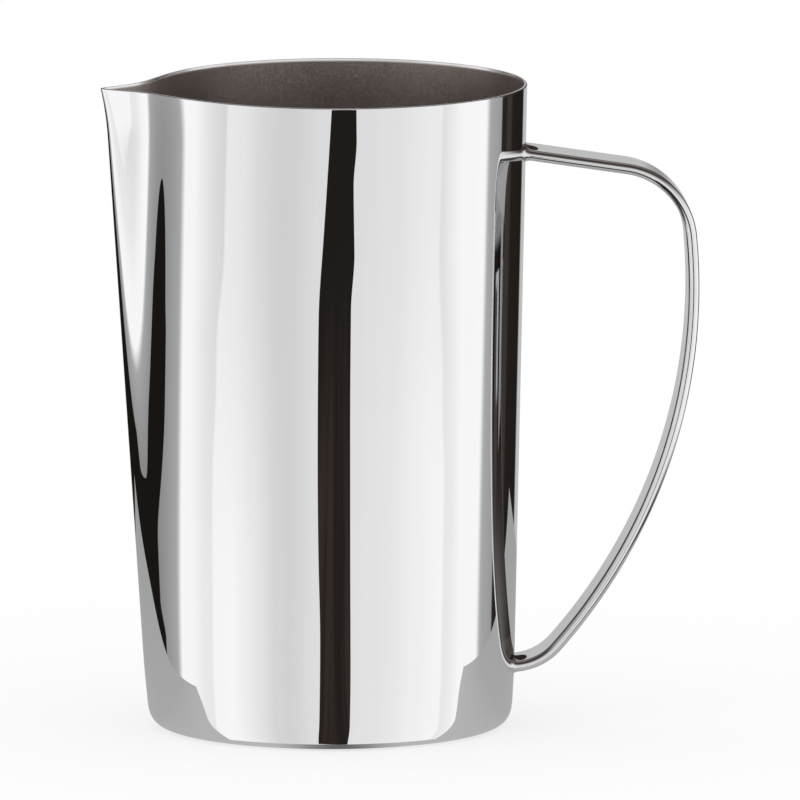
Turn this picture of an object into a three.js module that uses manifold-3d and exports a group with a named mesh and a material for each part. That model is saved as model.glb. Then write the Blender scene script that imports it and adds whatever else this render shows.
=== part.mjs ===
// Stainless steel milk jug: a drawn shell with a long pulled spout, and a strap handle welded on.
// Millimetres, +Z up. The origin is where the body axis meets the table.
// +X runs towards the handle and -X towards the spout.
import * as THREE from "three";
import { mergeVertices } from "three/addons/utils/BufferGeometryUtils.js";
import Module from "manifold-3d";

const wasm = await Module();
wasm.setup();

// Shell
const JUG_HEIGHT = 157;
const SHEET = 0.8;
const BASE_RADIUS = 44.5;
const CORNER_RADIUS = 4.5;
const FOOT_TAPER = 0.65;
const TAPER_HEIGHT = 18;
const PANEL_RADIUS = 23;
const PANEL_SLOPE = 1.5;
const PANEL_RISE = 0.8;

// Rim: a small break outside and a longer polished bevel inside
const RIM_BREAK = 0.25;
const BEVEL_WIDTH = 0.22;
const BEVEL_HEIGHT = 0.75;

// Wall: how far it leans out at the back and at the spout, and how far the round part moves to the handle
const BACK_REACH = 47.8;
const SPOUT_REACH = 54.7;
const MOUTH_SHIFT = 2.2;
const SHIFT_POWER = 2;

// Nose of the spout: how fast it fades to the sides and how round its ridge is, in degrees at the base,
// half way up and at the mouth
const NOSE_FADE = [9.15, 3.8, 6.3];
const NOSE_ROUNDING = [17, 13.6, 2.2];

// Pouring lip: the last stretch of the spout bends outwards and dips
const LIP_HEIGHT = 13;
const LIP_FLARE = 0.9;
const LIP_DIP = 0.8;
const LIP_SPREAD = 25;

// Handle: an arm that falls gently, a shoulder bend, a long sweep and a heel bend
const STRAP_WIDTH = 16;
const STRAP_THICKNESS = 2.6;
const UPPER_JOINT_DROP = 16.9;
const LOWER_JOINT_HEIGHT = 14.8;
const HANDLE_REACH = 88;
const WIDEST_DROP = 32.8;
const SHOULDER_RADIUS = 18.5;
const HEEL_RADIUS = 14;
const ARM_FALL = THREE.MathUtils.degToRad(8.5);
const HEEL_FALL = THREE.MathUtils.degToRad(2);

// Welds, ground low and long on the strap, and the gap that neighbouring solids keep
const WELD_HEIGHT = 0.7;
const WELD_LENGTH = 2.4;
const WELD_EDGE = 0.2;
const GAP = 0.3;

// Facets
const HALF_SEGMENTS = 40;
const NOSE_CROWDING = 1.45;
const CORNER_STEPS = 6;
const FOOT_STEPS = 3;
const WALL_STEPS = 10;
const LIP_STEPS = 4;
const STRAP_STEPS = 72;
const EDGE_SEGMENTS = 4;
const WELD_STEPS = 6;

const steel = new THREE.MeshStandardMaterial({ color: 0xc9cacb, roughness: 0.08, metalness: 1 });
const weldSteel = new THREE.MeshStandardMaterial({ color: 0xbfc0c2, roughness: 0.15, metalness: 1 });

// Shares of the half outline, 0 at the handle and 1 at the spout, closer together at the nose.
const shares = Array.from(
  { length: HALF_SEGMENTS + 1 },
  (_, i) => 1 - Math.pow(1 - i / HALF_SEGMENTS, NOSE_CROWDING),
);

// A closed ring from its half: the half runs from the handle side to the spout side with y >= 0.
function fullRing(half) {
  const mirrored = half.slice(1, -1).reverse().map((p) => new THREE.Vector3(p.x, -p.y, p.z));
  return [...half, ...mirrored];
}

function circleRing(radius, z) {
  const half = shares.map((share) => {
    const angle = Math.PI * share;
    return new THREE.Vector3(radius * Math.cos(angle), radius * Math.sin(angle), z);
  });
  return fullRing(half);
}

// Share of the way from the round base to the mouth: a straight ramp with a rounded start.
function riseAt(z) {
  const span = JUG_HEIGHT - CORNER_RADIUS;
  const soft = CORNER_RADIUS / span;
  const ramp = (z - CORNER_RADIUS) / span;
  return ramp > soft ? ramp : Math.max(0, ramp + soft) ** 2 / (4 * soft);
}

// The parabola through three values at the base, half way up and the mouth
function through([base, middle, mouth], share) {
  return base + (mouth - base) * share + (4 * middle - 2 * base - 2 * mouth) * share * (1 - share);
}

// One level of the wall: a round part, and a nose that fades with the turn away from the spout.
function levelAt(z) {
  const rise = riseAt(z);
  const shift = MOUTH_SHIFT * rise ** SHIFT_POWER;
  const round = THREE.MathUtils.lerp(BASE_RADIUS, BACK_REACH, rise) - shift;
  return {
    shift,
    round,
    nose: THREE.MathUtils.lerp(BASE_RADIUS, SPOUT_REACH, rise) + shift - round,
    fade: THREE.MathUtils.degToRad(through(NOSE_FADE, rise)),
    rounding: THREE.MathUtils.degToRad(through(NOSE_ROUNDING, rise)),
    taper: FOOT_TAPER * Math.max(0, 1 - z / TAPER_HEIGHT) ** 2,
    lip: Math.max(0, (z - JUG_HEIGHT + LIP_HEIGHT) / LIP_HEIGHT) ** 2,
  };
}

// One ring of the wall, set in from the outer face along the level's own normal.
// Near the spout tip the lip leans out and dips with the square of its height.
function wallRing(z, inset) {
  const level = levelAt(z);
  const depth = inset + level.taper;
  const half = shares.map((share) => {
    const angle = Math.PI * share;
    const turn = Math.PI - angle;
    const reach = Math.hypot(turn, level.rounding);
    const bump = level.nose * Math.exp((level.rounding - reach) / level.fade);
    const radius = level.round + bump;
    const slope = (bump * turn) / (level.fade * reach);
    const along = new THREE.Vector2(slope, radius).rotateAround(new THREE.Vector2(), angle).normalize();
    const nearTip = level.lip * Math.exp(-((turn / THREE.MathUtils.degToRad(LIP_SPREAD)) ** 2));
    const x = level.shift + radius * Math.cos(angle) - depth * along.y - LIP_FLARE * nearTip;
    const y = radius * Math.sin(angle) + depth * along.x;
    return new THREE.Vector3(x, y, z - LIP_DIP * nearTip);
  });
  return fullRing(half);
}

// Heights from one to another in even steps, without the first
function steps(from, to, count) {
  return Array.from({ length: count }, (_, i) => THREE.MathUtils.lerp(from, to, (i + 1) / count));
}

// Heights of the wall rings: the tapered foot, the long wall, then finer steps up the lip.
function wallHeights(top) {
  const lipStart = JUG_HEIGHT - LIP_HEIGHT;
  return [
    ...steps(CORNER_RADIUS, TAPER_HEIGHT, FOOT_STEPS),
    ...steps(TAPER_HEIGHT, lipStart, WALL_STEPS),
    ...steps(lipStart, top, LIP_STEPS),
  ];
}

function cornerRings(inset) {
  const radius = CORNER_RADIUS - inset;
  return [0, ...steps(0, Math.PI / 2, CORNER_STEPS)].map((angle) => (
    wallRing(CORNER_RADIUS - radius * Math.cos(angle), CORNER_RADIUS - radius * Math.sin(angle))
  ));
}

// A closed skin over rings of equal count, with a fan to a middle point at each end.
function loft(rings) {
  const count = rings[0].length;
  const centre = (ring) => ring.reduce((sum, p) => sum.add(p), new THREE.Vector3()).divideScalar(count);
  const points = [...rings.flat(), centre(rings[0]), centre(rings[rings.length - 1])];
  const firstPole = points.length - 2;
  const lastPole = points.length - 1;
  const lastRing = (rings.length - 1) * count;
  const index = [];
  for (let i = 0; i < count; i += 1) {
    const next = (i + 1) % count;
    index.push(firstPole, next, i);
    index.push(lastPole, lastRing + i, lastRing + next);
    for (let j = 0; j < lastRing; j += count) {
      index.push(j + i, j + next, j + count + next);
      index.push(j + i, j + count + next, j + count + i);
    }
  }
  return new THREE.BufferGeometry().setFromPoints(points).setIndex(index);
}

function toSolid(geometry) {
  const bare = geometry.clone();
  bare.deleteAttribute("normal");
  bare.deleteAttribute("uv");
  const merged = mergeVertices(bare);
  return new wasm.Manifold(new wasm.Mesh({
    numProp: 3,
    vertProperties: Float32Array.from(merged.attributes.position.array),
    triVerts: Uint32Array.from(merged.index.array),
  }));
}

function toGeometry(solid) {
  const mesh = solid.getMesh();
  const geometry = new THREE.BufferGeometry();
  geometry.setAttribute("position", new THREE.BufferAttribute(mesh.vertProperties, 3));
  geometry.setIndex(new THREE.BufferAttribute(mesh.triVerts, 1));
  return geometry;
}

// Shell: up the outside, over the rim, down the inside
function bodyShell() {
  const outerBase = [circleRing(PANEL_RADIUS, PANEL_RISE), circleRing(PANEL_RADIUS + PANEL_SLOPE, 0)];
  const innerBase = [
    circleRing(PANEL_RADIUS + PANEL_SLOPE, SHEET),
    circleRing(PANEL_RADIUS, PANEL_RISE + SHEET),
  ];
  const rim = [wallRing(JUG_HEIGHT, RIM_BREAK), wallRing(JUG_HEIGHT, SHEET - BEVEL_WIDTH)];
  return loft([
    ...outerBase,
    ...cornerRings(0),
    ...wallHeights(JUG_HEIGHT - RIM_BREAK).map((z) => wallRing(z, 0)),
    ...rim,
    ...wallHeights(JUG_HEIGHT - BEVEL_HEIGHT).map((z) => wallRing(z, SHEET)).reverse(),
    ...cornerRings(SHEET).reverse(),
    ...innerBase,
  ]);
}

// The space that the wall takes up, filled in and grown by the gap
function wallBlock() {
  const rings = [wallRing(CORNER_RADIUS, -GAP), ...wallHeights(JUG_HEIGHT).map((z) => wallRing(z, -GAP))];
  return toSolid(loft(rings));
}

// Outer face of the wall on the handle side
function wallX(z) {
  const level = levelAt(z);
  return level.shift + level.round - level.taper;
}

// Handle centreline in the X-Z plane. The long sweep touches the shoulder and heel bends from outside,
// and stands farthest out at the widest height.
const BURY = STRAP_WIDTH / 2;
const upperZ = JUG_HEIGHT - UPPER_JOINT_DROP;
const upperJoint = new THREE.Vector2(wallX(upperZ), upperZ);
const lowerJoint = new THREE.Vector2(wallX(LOWER_JOINT_HEIGHT), LOWER_JOINT_HEIGHT);
const armOut = new THREE.Vector2(Math.cos(ARM_FALL), -Math.sin(ARM_FALL));
const armDown = new THREE.Vector2(-Math.sin(ARM_FALL), -Math.cos(ARM_FALL));
const heelIn = new THREE.Vector2(-Math.cos(HEEL_FALL), -Math.sin(HEEL_FALL));
const heelUp = new THREE.Vector2(-Math.sin(HEEL_FALL), Math.cos(HEEL_FALL));

function handlePath() {
  const widestZ = upperZ - WIDEST_DROP;
  const heel = lowerJoint.clone().addScaledVector(heelUp, HEEL_RADIUS);
  const across = HANDLE_REACH - heel.x;
  const above = widestZ - heel.y;
  const sweepRadius = (across ** 2 + above ** 2 - HEEL_RADIUS ** 2) / (2 * (across - HEEL_RADIUS));
  const sweep = new THREE.Vector2(HANDLE_REACH - sweepRadius, widestZ);

  const base = upperJoint.clone().addScaledVector(armDown, SHOULDER_RADIUS).sub(sweep);
  const along = base.dot(armOut);
  const spare = base.lengthSq() - (sweepRadius - SHOULDER_RADIUS) ** 2;
  const armLength = Math.sqrt(along ** 2 - spare) - along;
  const shoulder = sweep.clone().add(base).addScaledVector(armOut, armLength);

  const shoulderEnd = shoulder.clone().sub(sweep).angle();
  const heelStart = heel.clone().sub(sweep).angle();
  const start = upperJoint.clone().addScaledVector(armOut, -BURY);
  const armEnd = upperJoint.clone().addScaledVector(armOut, armLength);
  const end = lowerJoint.clone().addScaledVector(heelIn, BURY);
  return new THREE.Path()
    .moveTo(start.x, start.y)
    .lineTo(armEnd.x, armEnd.y)
    .absarc(shoulder.x, shoulder.y, SHOULDER_RADIUS, Math.PI / 2 - ARM_FALL, shoulderEnd, true)
    .absarc(sweep.x, sweep.y, sweepRadius, shoulderEnd, heelStart, true)
    .absarc(heel.x, heel.y, HEEL_RADIUS, heelStart, HEEL_FALL - Math.PI / 2, true)
    .lineTo(end.x, end.y);
}

// A flat path stood up in the X-Z plane
class UprightCurve extends THREE.Curve {
  constructor(flat) {
    super();
    this.flat = flat;
  }

  getPoint(share, target = new THREE.Vector3()) {
    const p = this.flat.getPoint(share);
    return target.set(p.x, 0, p.y);
  }
}

const handleCurve = new UprightCurve(handlePath());

// Strap section: two flats joined by full round edges, grown all round by an offset
function strapSection(offset) {
  const flat = (STRAP_WIDTH - STRAP_THICKNESS) / 2;
  const edge = STRAP_THICKNESS / 2 + offset;
  const section = new THREE.Shape();
  section.absarc(flat, 0, edge, -Math.PI / 2, Math.PI / 2, false);
  section.absarc(-flat, 0, edge, Math.PI / 2, (3 * Math.PI) / 2, false);
  return section;
}

function strapSolid(offset) {
  return toSolid(new THREE.ExtrudeGeometry(strapSection(offset), {
    extrudePath: handleCurve,
    steps: STRAP_STEPS,
    curveSegments: EDGE_SEGMENTS,
  }));
}

// Weld: a hollow fillet carried round the strap. Its rings stand off the curved wall by equal steps,
// so each point is set back by the wall's own roundness and by the tilt of the strap.
function weldSolid(joint, out, wall, strap) {
  const up = new THREE.Vector2(-out.y, out.x);
  const tilt = out.y / out.x;
  const { round } = levelAt(joint.y);
  const rings = [];
  for (let i = -1; i <= WELD_STEPS; i += 1) {
    const turn = (Math.PI / 2) * Math.max(0, i / WELD_STEPS);
    const standOff = i < 0 ? -SHEET : WELD_LENGTH * (1 - Math.cos(turn));
    const offset = GAP + WELD_EDGE + WELD_HEIGHT * (1 - Math.sin(turn));
    const outline = strapSection(offset).getPoints(EDGE_SEGMENTS);
    outline.pop();
    rings.push(outline.map((p) => {
      const setBack = round - Math.sqrt(round ** 2 - p.x ** 2);
      const along = standOff - setBack + p.y * tilt;
      const spot = joint.clone().addScaledVector(out, along).addScaledVector(up, p.y);
      return new THREE.Vector3(spot.x, p.x, spot.y);
    }));
  }
  return toSolid(loft(rings)).subtract(wall).subtract(strap);
}

const jug = new THREE.Group();

function addPart(name, geometry, material) {
  const mesh = new THREE.Mesh(geometry, material);
  mesh.name = name;
  jug.add(mesh);
}

const wall = wallBlock();
const strapRoom = strapSolid(GAP);
addPart("body_shell", bodyShell(), steel);
addPart("handle_strap", toGeometry(strapSolid(0).subtract(wall)), steel);
addPart("upper_weld", toGeometry(weldSolid(upperJoint, armOut, wall, strapRoom)), weldSteel);
addPart("lower_weld", toGeometry(weldSolid(lowerJoint, heelIn.clone().negate(), wall, strapRoom)), weldSteel);

export default jug;
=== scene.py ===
# %% [markdown]
# # A polished steel milk jug
# The jug is a drawn steel shell with a long pulled spout and a bent strap welded on as a handle.
# Polished steel has almost no colour of its own: nearly all that the eye sees is the studio around it.
# So this lesson has two halves. The first makes the shell, the strap and the welds as very smooth surfaces
# from formulas. The second makes the steel finishes and the studio that they mirror.

# %% Load the frame and measure its box
import math

import bpy
import numpy as np
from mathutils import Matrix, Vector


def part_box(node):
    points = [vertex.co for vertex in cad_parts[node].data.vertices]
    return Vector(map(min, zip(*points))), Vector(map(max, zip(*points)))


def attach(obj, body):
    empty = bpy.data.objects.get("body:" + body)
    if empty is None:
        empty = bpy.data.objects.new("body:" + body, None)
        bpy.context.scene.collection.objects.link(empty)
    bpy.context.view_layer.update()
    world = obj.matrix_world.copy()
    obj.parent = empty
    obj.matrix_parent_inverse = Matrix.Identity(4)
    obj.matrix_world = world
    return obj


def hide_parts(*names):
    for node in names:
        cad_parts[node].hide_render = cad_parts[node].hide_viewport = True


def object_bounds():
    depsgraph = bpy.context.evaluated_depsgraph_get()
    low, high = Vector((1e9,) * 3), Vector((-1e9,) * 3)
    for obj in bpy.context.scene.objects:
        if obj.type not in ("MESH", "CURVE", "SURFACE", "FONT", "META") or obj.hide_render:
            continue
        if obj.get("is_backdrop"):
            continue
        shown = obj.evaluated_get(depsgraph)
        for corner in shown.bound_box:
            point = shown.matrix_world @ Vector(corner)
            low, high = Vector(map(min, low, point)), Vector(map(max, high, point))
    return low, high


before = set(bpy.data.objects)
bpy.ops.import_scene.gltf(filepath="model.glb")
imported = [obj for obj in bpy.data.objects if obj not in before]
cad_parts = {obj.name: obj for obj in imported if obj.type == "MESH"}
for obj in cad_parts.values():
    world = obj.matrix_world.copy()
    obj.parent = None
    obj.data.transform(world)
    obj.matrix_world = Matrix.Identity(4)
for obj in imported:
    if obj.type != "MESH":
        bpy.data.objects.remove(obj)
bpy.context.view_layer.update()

MM = 0.001


def box_as_lists():
    """The whole object's lowest and highest corner as plain lists."""
    return [[float(value) for value in corner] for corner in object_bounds()]


# %% [markdown]
# ## Camera
# The photograph was taken from far away with a long lens, a little above the jug and a hair to the
# spout's side, so the rim is a narrow ellipse and upright lines stay upright. A long lens far away gives
# the same calm drawing. The distance follows from the size of one pixel at the jug's axis.

# %% Camera
FRAME_PIXELS = 800
PIXEL = 0.2425 * MM
AXIS_PIXEL_X = 330.0
FOOT_PIXEL_Y = 724.2
CAMERA_AZIMUTH = math.radians(-3.0)
CAMERA_ELEVATION = math.radians(8.4)
LENS = 1280.0
SENSOR = 36.0
CLIP_NEAR = 0.1
CLIP_FAR = 100.0


def make_camera():
    """Look at the point that the middle of the picture shows, from the lens's own distance."""
    distance = PIXEL * FRAME_PIXELS * LENS / SENSOR
    middle = FRAME_PIXELS / 2
    right = np.array([math.cos(CAMERA_AZIMUTH), math.sin(CAMERA_AZIMUTH), 0.0])
    back = np.array([
        math.sin(CAMERA_AZIMUTH) * math.cos(CAMERA_ELEVATION),
        -math.cos(CAMERA_AZIMUTH) * math.cos(CAMERA_ELEVATION),
        math.sin(CAMERA_ELEVATION),
    ])
    target = right * (middle - AXIS_PIXEL_X) * PIXEL
    target[2] = (FOOT_PIXEL_Y - middle) * PIXEL / math.cos(CAMERA_ELEVATION)
    data = bpy.data.cameras.new("camera")
    data.lens = LENS
    data.sensor_width = SENSOR
    data.clip_start = CLIP_NEAR
    data.clip_end = CLIP_FAR
    camera = bpy.data.objects.new("camera", data)
    camera.location = target + back * distance
    camera.rotation_euler = (math.pi / 2 - CAMERA_ELEVATION, 0.0, CAMERA_AZIMUTH)
    bpy.context.scene.collection.objects.link(camera)
    bpy.context.scene.camera = camera
    return distance


print("camera stands", round(make_camera(), 3), "m away")

# %% [markdown]
# ## From arrays to a mesh
# Every surface below is a grid of points: rows run along the piece and columns run round it. The columns
# close on themselves. A row that shrinks to a point becomes a fan, so no hole is left at a pole.

# %% Grid helper
def grid_mesh(name, points, close_rows=False, poles=()):
    """A smooth mesh over points[row, column], closed round its columns.

    With close_rows the last row joins the first. Otherwise poles holds a middle point for each end.
    """
    rows, columns = points.shape[:2]
    index = np.arange(rows * columns).reshape(rows, columns)
    lower = index if close_rows else index[:-1]
    upper = np.roll(index, -1, axis=0) if close_rows else index[1:]
    quads = np.stack([lower, np.roll(lower, -1, axis=1), np.roll(upper, -1, axis=1), upper], axis=-1)
    faces = quads.reshape(-1, 4).tolist()
    vertices = points.reshape(-1, 3)
    if len(poles):
        first, last = rows * columns, rows * columns + 1
        faces += np.stack([np.full(columns, first), np.roll(index[0], -1), index[0]], axis=1).tolist()
        faces += np.stack([np.full(columns, last), index[-1], np.roll(index[-1], -1)], axis=1).tolist()
        vertices = np.vstack([vertices, poles])
    mesh = bpy.data.meshes.new(name)
    mesh.from_pydata(vertices.tolist(), [], faces)
    mesh.polygons.foreach_set("use_smooth", np.ones(len(mesh.polygons), dtype=bool))
    mesh.update()
    piece = bpy.data.objects.new(name, mesh)
    bpy.context.scene.collection.objects.link(piece)
    print(name, len(mesh.vertices), "points", len(mesh.polygons), "faces")
    return piece


# %% [markdown]
# ## The shell
# A drawn jug starts as a round cup. The spout is then pulled out of it, most at the mouth and not at all
# at the base, so each level is a circle with a nose that fades quickly to both sides. In polar form that
# is a radius plus a bump. The bump dies away exponentially with the angle from the spout, and a hyperbola
# rounds its peak. One formula then gives the ridge, the hollow flanks and the round back together, and
# its slope gives the exact direction in which the sheet has its thickness. Lengths of the pieces are in
# millimetres and become metres when the points are made.

# %% The level formula
JUG_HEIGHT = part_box("body_shell")[1][2] / MM
SHEET = 0.8
BASE_RADIUS = 44.5
CORNER_RADIUS = 4.5
FOOT_TAPER = 0.65
TAPER_HEIGHT = 18.0
BACK_REACH = 47.8
SPOUT_REACH = 54.7
MOUTH_SHIFT = 2.2
SHIFT_POWER = 2.0
NOSE_FADE = np.radians([9.15, 3.8, 6.3])
NOSE_ROUNDING = np.radians([17.0, 13.6, 2.2])
LIP_HEIGHT = 13.0
LIP_FLARE = 0.9
LIP_DIP = 0.8
LIP_SPREAD = math.radians(25.0)


def rise_at(z):
    """Share of the way from the round base to the mouth: a straight ramp with a rounded start."""
    span = JUG_HEIGHT - CORNER_RADIUS
    soft = CORNER_RADIUS / span
    ramp = (z - CORNER_RADIUS) / span
    rounded = (ramp + soft) ** 2 / (4 * soft)
    return np.where(ramp > soft, ramp, np.where(ramp < -soft, 0.0, rounded))


def through(values, share):
    """The parabola through three values at the base, half way up and the mouth."""
    base, middle, mouth = values
    return base + (mouth - base) * share + (4 * middle - 2 * base - 2 * mouth) * share * (1 - share)


def foot_taper(z):
    """How much the lowest stretch of the wall draws in."""
    return FOOT_TAPER * np.clip(1 - z / TAPER_HEIGHT, 0, 1) ** 2


def shell_points(angle, z, inset):
    """Point of the shell at an angle round the axis, a height and a depth under the outer face.

    radius = round + nose * exp(-(hypot(turn, rounding) - rounding) / fade), with turn counted from the
    spout. The depth is measured along the level's own outward normal. At the mouth the lip of the spout
    flares and dips by the square of the height in its zone times exp(-(turn / spread) ** 2).
    """
    rise = rise_at(z)
    shift = MOUTH_SHIFT * rise ** SHIFT_POWER
    back = BASE_RADIUS + rise * (BACK_REACH - BASE_RADIUS)
    front = BASE_RADIUS + rise * (SPOUT_REACH - BASE_RADIUS)
    rounded = back - shift
    nose = front + shift - rounded
    fade = through(NOSE_FADE, rise)
    rounding = through(NOSE_ROUNDING, rise)
    turn = math.pi - np.abs(angle)
    reach = np.hypot(turn, rounding)
    bump = nose * np.exp(-(reach - rounding) / fade)
    radius = rounded + bump
    slope = bump * turn / (fade * reach) * np.sign(angle)
    tangent_x = slope * np.cos(angle) - radius * np.sin(angle)
    tangent_y = slope * np.sin(angle) + radius * np.cos(angle)
    length = np.hypot(tangent_x, tangent_y)
    inset = inset + foot_taper(z)
    in_lip = np.clip((z - JUG_HEIGHT + LIP_HEIGHT) / LIP_HEIGHT, 0, None)
    lip = in_lip ** 2 * np.exp(-(turn / LIP_SPREAD) ** 2)
    x = shift + radius * np.cos(angle) - inset * tangent_y / length - LIP_FLARE * lip
    y = radius * np.sin(angle) + inset * tangent_x / length
    return np.stack(np.broadcast_arrays(x, y, z - LIP_DIP * lip), axis=-1) * MM


mouth = shell_points(np.radians(np.arange(-180, 181)), JUG_HEIGHT, 0.0)
print("mouth length, width and dip in mm", np.round(np.ptp(mouth, axis=0) / MM, 1))

# %% [markdown]
# The profile of the shell is a list of rows, each a height and a depth under the outer face: the set-in
# middle of the base, the standing ring, the corner, the wall and the rim, then the same way down inside.
# The outer corner could be a plain quarter circle, but a mirror shows a crease where a circle runs into a
# flat, so its bend eases in and out. The rim is broken outside and has a fine bevel inside, which is what
# catches the light along the far edge of the mouth. Rows stand close together beside each bend, and columns
# close together at the spout, so that the shading turns only where the sheet does.

# %% Columns, wall heights and the eased corner
COLUMNS = 420
CROWDING = 0.72
BESIDE_BENDS = np.array([0.08, 0.3, 0.8])
CORNER_ROWS = 22
CORNER_REACH = 6.4
CORNER_POWER = 3.0


def crowded_angles():
    """Angles from -180 to 180 degrees, closer together towards the spout at both ends.

    angle = pi * even + crowding * sin(pi * even), with even going from -1 to 1.
    """
    even = (np.arange(COLUMNS) + 0.5) / COLUMNS * 2 - 1
    return math.pi * even + CROWDING * np.sin(math.pi * even)


def wall_heights(foot, top, rows):
    """Even heights from the corner to the top, with extra ones beside both ends."""
    even = np.linspace(foot, top, rows)[1:-1]
    return np.concatenate([foot + BESIDE_BENDS, even, top - BESIDE_BENDS[::-1]])


def eased_corner():
    """Heights and depths of the outer corner: the superellipse x ** p + y ** p = 1.

    Its bend starts from nothing at both ends, so a reflection runs round it without a crease. At the
    lean a, x and y go as cos(a) and sin(a) to the power 1 / (p - 1).
    """
    share = np.linspace(0, 1, CORNER_ROWS)
    lean = math.pi / 2 * share * share * (3 - 2 * share)
    x = np.cos(lean) ** (1 / (CORNER_POWER - 1))
    y = np.sin(lean) ** (1 / (CORNER_POWER - 1))
    size = (x ** CORNER_POWER + y ** CORNER_POWER) ** (1 / CORNER_POWER)
    return CORNER_REACH * (1 - x / size), CORNER_REACH * (1 - y / size)


print("corner rows", CORNER_ROWS, "over", CORNER_REACH, "mm, columns", COLUMNS)

# %% The shell's rows
PANEL_RADIUS = 23.0
PANEL_SLOPE = 1.5
PANEL_RISE = 0.8
PANEL_SHARES = np.array([0.25, 0.6, 0.985, 1.0])
SLOPE_SHARES = np.array([0.04, 0.3, 0.6, 0.96, 1.0])
RING_MARGINS = (0.4, 0.3)
RING_ROWS = 3
OUTER_ROWS = 90
INNER_ROWS = 40
RIM_BREAK = 0.25
BEVEL_WIDTH = 0.10
BEVEL_HEIGHT = 0.75
BEVEL_BREAK = 0.06
BREAK_ROWS = 6
BEVEL_RIM_SHARES = np.array([0.05, 0.2, 0.35])
BEVEL_INSIDE_SHARES = np.array([0.65, 0.95, 1.0])


def base_rows(radius, height):
    """Rows of the flat base, given by their radius."""
    return height, BASE_RADIUS - foot_taper(height) - radius


def panel_drop():
    """Smooth step from the panel down to the ring: rise * s * s * (3 - 2 * s)."""
    return PANEL_RISE * SLOPE_SHARES * SLOPE_SHARES * (3 - 2 * SLOPE_SHARES)


def bevel_rows(share):
    """Rows on the bevel's straight line, at shares of its height."""
    height = JUG_HEIGHT - BEVEL_BREAK - (BEVEL_HEIGHT - BEVEL_BREAK) * share
    return height, SHEET - BEVEL_WIDTH * (1 - share)


def outside_rows():
    """Heights and depths of the panel, its sloped edge, the standing ring, the corner and the wall."""
    panel = PANEL_RADIUS * PANEL_SHARES
    ring_start = PANEL_RADIUS + PANEL_SLOPE + RING_MARGINS[0]
    ring_end = BASE_RADIUS - CORNER_REACH - FOOT_TAPER - RING_MARGINS[1]
    wall = wall_heights(CORNER_REACH, JUG_HEIGHT - RIM_BREAK, OUTER_ROWS)
    return [
        base_rows(panel, np.full(len(panel), PANEL_RISE)),
        base_rows(PANEL_RADIUS + PANEL_SLOPE * SLOPE_SHARES, PANEL_RISE - panel_drop()),
        base_rows(np.linspace(ring_start, ring_end, RING_ROWS), np.zeros(RING_ROWS)),
        eased_corner(),
        (wall, np.zeros(len(wall))),
    ]


def rim_rows():
    """Heights and depths of the round outer break, the round inner break and the top of the bevel."""
    turn = np.linspace(0, math.pi / 2, BREAK_ROWS)
    bevel_top = SHEET - BEVEL_WIDTH - BEVEL_BREAK
    return [
        (JUG_HEIGHT - RIM_BREAK * (1 - np.sin(turn)), RIM_BREAK * (1 - np.cos(turn))),
        (JUG_HEIGHT - BEVEL_BREAK * (1 - np.cos(turn)), bevel_top + BEVEL_BREAK * np.sin(turn)),
        bevel_rows(BEVEL_RIM_SHARES),
    ]


def inside_rows():
    """Heights and depths of the rest of the bevel, the inner wall, its round corner and the floor."""
    wall = wall_heights(CORNER_RADIUS, JUG_HEIGHT - BEVEL_HEIGHT, INNER_ROWS)[::-1]
    turn = np.linspace(0, math.pi / 2, CORNER_ROWS)[::-1]
    corner = CORNER_RADIUS - SHEET
    panel = PANEL_RADIUS * PANEL_SHARES[::-1]
    return [
        bevel_rows(BEVEL_INSIDE_SHARES),
        (wall, np.full(len(wall), SHEET)),
        (CORNER_RADIUS - corner * np.cos(turn), CORNER_RADIUS - corner * np.sin(turn)),
        base_rows(PANEL_RADIUS + PANEL_SLOPE * (1 - SLOPE_SHARES), SHEET + panel_drop()),
        base_rows(panel, np.full(len(panel), SHEET + PANEL_RISE)),
    ]


def count_rows(group):
    """How many rows a list of heights and depths has."""
    return sum(len(height) for height, _ in group)


print("rows", [count_rows(group) for group in (outside_rows(), rim_rows(), inside_rows())])

# %% The shell's mesh, with a finish number on each face
OUTSIDE, RIM, INSIDE = range(3)


def make_shell():
    """All rows as one grid from the middle of the base, over the rim, to the middle of the inner floor."""
    groups = [outside_rows(), rim_rows(), inside_rows()]
    height = np.concatenate([part[0] for group in groups for part in group])
    depth = np.concatenate([part[1] for group in groups for part in group])
    points = shell_points(crowded_angles()[None, :], height[:, None], depth[:, None])
    poles = np.array([[0, 0, PANEL_RISE], [0, 0, PANEL_RISE + SHEET]]) * MM
    piece = grid_mesh("jug_shell", points, poles=poles)
    outside_end, rim_end, _ = np.cumsum([count_rows(group) for group in groups])
    row_of_face = np.arange((len(height) - 1) * COLUMNS) // COLUMNS
    finish = np.where(row_of_face < rim_end, RIM, INSIDE)
    finish = np.where(row_of_face < outside_end, OUTSIDE, finish)
    finish = np.concatenate([finish, np.full(COLUMNS, OUTSIDE), np.full(COLUMNS, INSIDE)])
    piece.data.polygons.foreach_set("material_index", finish.astype(np.int32))
    return piece


shell = make_shell()

# %% [markdown]
# ## The handle
# The strap leaves the wall on a straight arm that falls a little, turns down over a shoulder, sweeps in on
# one long curve and turns flat at the heel. These are arcs that touch one another, so only the two joints,
# the bends and the farthest reach have to be known. The strap is then a flat section with full round
# edges carried along that line.

# %% Where the strap meets the wall
UPPER_JOINT_DROP = 16.9
LOWER_JOINT_HEIGHT = 14.8
ARM_FALL = math.radians(8.5)
HEEL_FALL = math.radians(2.0)


def back_wall(z):
    """How far the wall's outer face stands from the axis on the handle's side."""
    return BASE_RADIUS + float(rise_at(z)) * (BACK_REACH - BASE_RADIUS) - float(foot_taper(z))


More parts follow.
